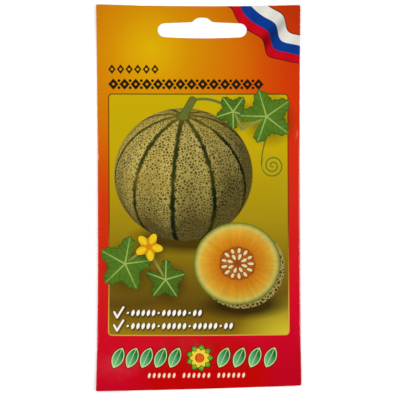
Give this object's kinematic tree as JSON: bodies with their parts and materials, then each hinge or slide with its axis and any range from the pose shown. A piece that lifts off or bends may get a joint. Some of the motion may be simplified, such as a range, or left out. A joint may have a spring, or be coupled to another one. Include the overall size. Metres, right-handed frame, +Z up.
{
  "type": "seed packet",
  "caption": "Flat folded paper seed packet with a punched hanging slot, a glued back lap and flat glued ends, rounded out by loose melon seeds.",
  "frame": {"origin": "on the surface that the packet lies on, under the middle of its bounding box", "axes": "+Y along the packet's length towards the hanging slot, +X to the right of a reader who faces the front, +Z up out of the front"},
  "size_m": [0.085, 0.16, 0.0047],
  "materials": {
    "printed_paper": "satin",
    "seed_coat": "satin"
  },
  "bodies": {
    "root": {"packet_paper": "printed_paper", "seed_01": "seed_coat", "seed_02": "seed_coat", "seed_03": "seed_coat", "seed_04": "seed_coat", "seed_05": "seed_coat", "seed_06": "seed_coat", "seed_07": "seed_coat", "seed_08": "seed_coat", "seed_09": "seed_coat", "seed_10": "seed_coat", "seed_11": "seed_coat", "seed_12": "seed_coat"}
  },
  "joints": []
}
